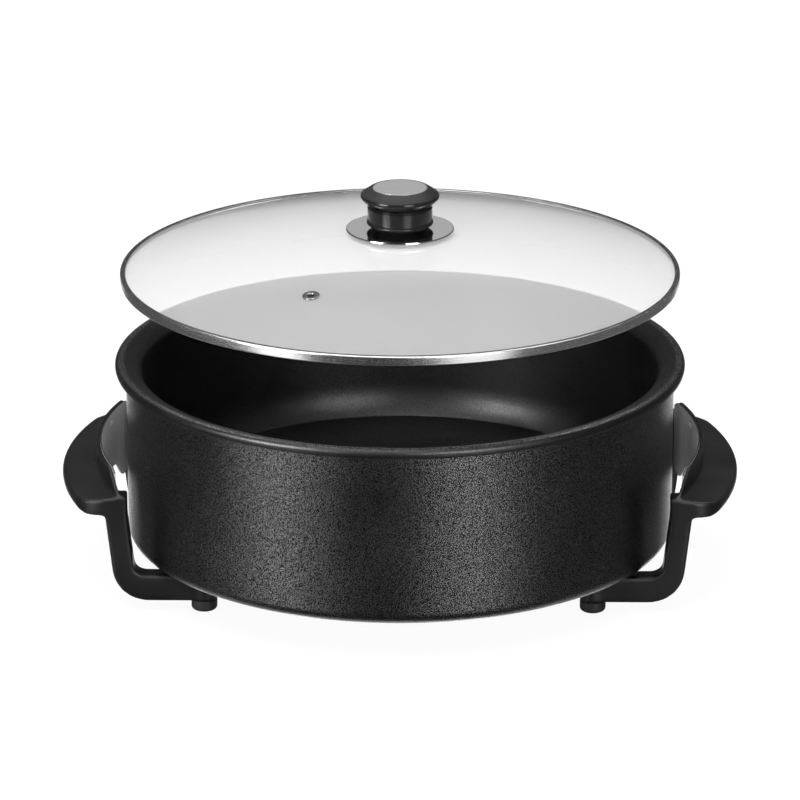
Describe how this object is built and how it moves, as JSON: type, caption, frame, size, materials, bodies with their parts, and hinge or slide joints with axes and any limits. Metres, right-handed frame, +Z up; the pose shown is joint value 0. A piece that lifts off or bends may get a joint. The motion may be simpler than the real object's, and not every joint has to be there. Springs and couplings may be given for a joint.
{
  "type": "electric paella pan",
  "caption": "Round electric paella pan: hammered steel casing round a coated pan, moulded handles that form its legs, and a loose domed glass lid with a knob and steam vent.",
  "frame": {"origin": "on the table, under the pan's axis", "axes": "+Z up, +X through the handles to the right, -Y to the front, inlet at the rear"},
  "size_m": [0.5, 0.42, 0.2952],
  "materials": {
    "hammered_black": "black hammertone paint on sheet steel",
    "pan_coating": "black non-stick coating on cast aluminium",
    "raw_aluminium": "as cast or drawn",
    "bright_steel": "bright plated",
    "brushed_shield": "brushed grey",
    "lid_steel": "polished stainless",
    "brushed_inlay": "spun",
    "polished_plate": "polished",
    "moulded_black": "satin heat-proof moulding",
    "knob_black": "glossy heat-proof moulding",
    "foot_rubber": "matte",
    "ceramic": "white insulating ceramic",
    "clear_glass": "clear toughened",
    "seal": "silicone"
  },
  "bodies": {
    "pan": {"casing": "hammered_black", "inner_pan": "pan_coating", "heat_spreader": "raw_aluminium", "heating_element": "raw_aluminium", "heat_reflector": "bright_steel", "base_plate": "bright_steel", "centre_stud": "raw_aluminium", "base_nut": "bright_steel", "handle_left": "moulded_black", "handle_right": "moulded_black", "heat_shield_left": "brushed_shield", "heat_shield_right": "brushed_shield", "shield_rivets": "bright_steel", "foot_front_left": "foot_rubber", "foot_front_right": "foot_rubber", "foot_rear_left": "foot_rubber", "foot_rear_right": "foot_rubber", "foot_screws": "bright_steel", "foot_nuts": "bright_steel", "inlet_socket": "moulded_black", "inlet_screws": "bright_steel", "terminal_pins": "bright_steel", "terminal_insulators": "ceramic", "probe_sleeve": "raw_aluminium", "earth_contact": "bright_steel"},
    "lid": {"lid_glass": "clear_glass", "lid_band": "lid_steel", "vent_eyelet": "lid_steel", "vent_ring": "lid_steel", "knob": "knob_black", "knob_inlay": "brushed_inlay", "knob_plate": "polished_plate", "knob_gasket": "seal", "glass_gasket": "seal", "knob_washer": "bright_steel", "knob_screw": "bright_steel"}
  },
  "joints": [
    {"name": "lid_lift", "type": "slide", "parent": "pan", "child": "lid", "axis": [0, 0, 1], "range_m": [-0.06, 0.12]}
  ]
}
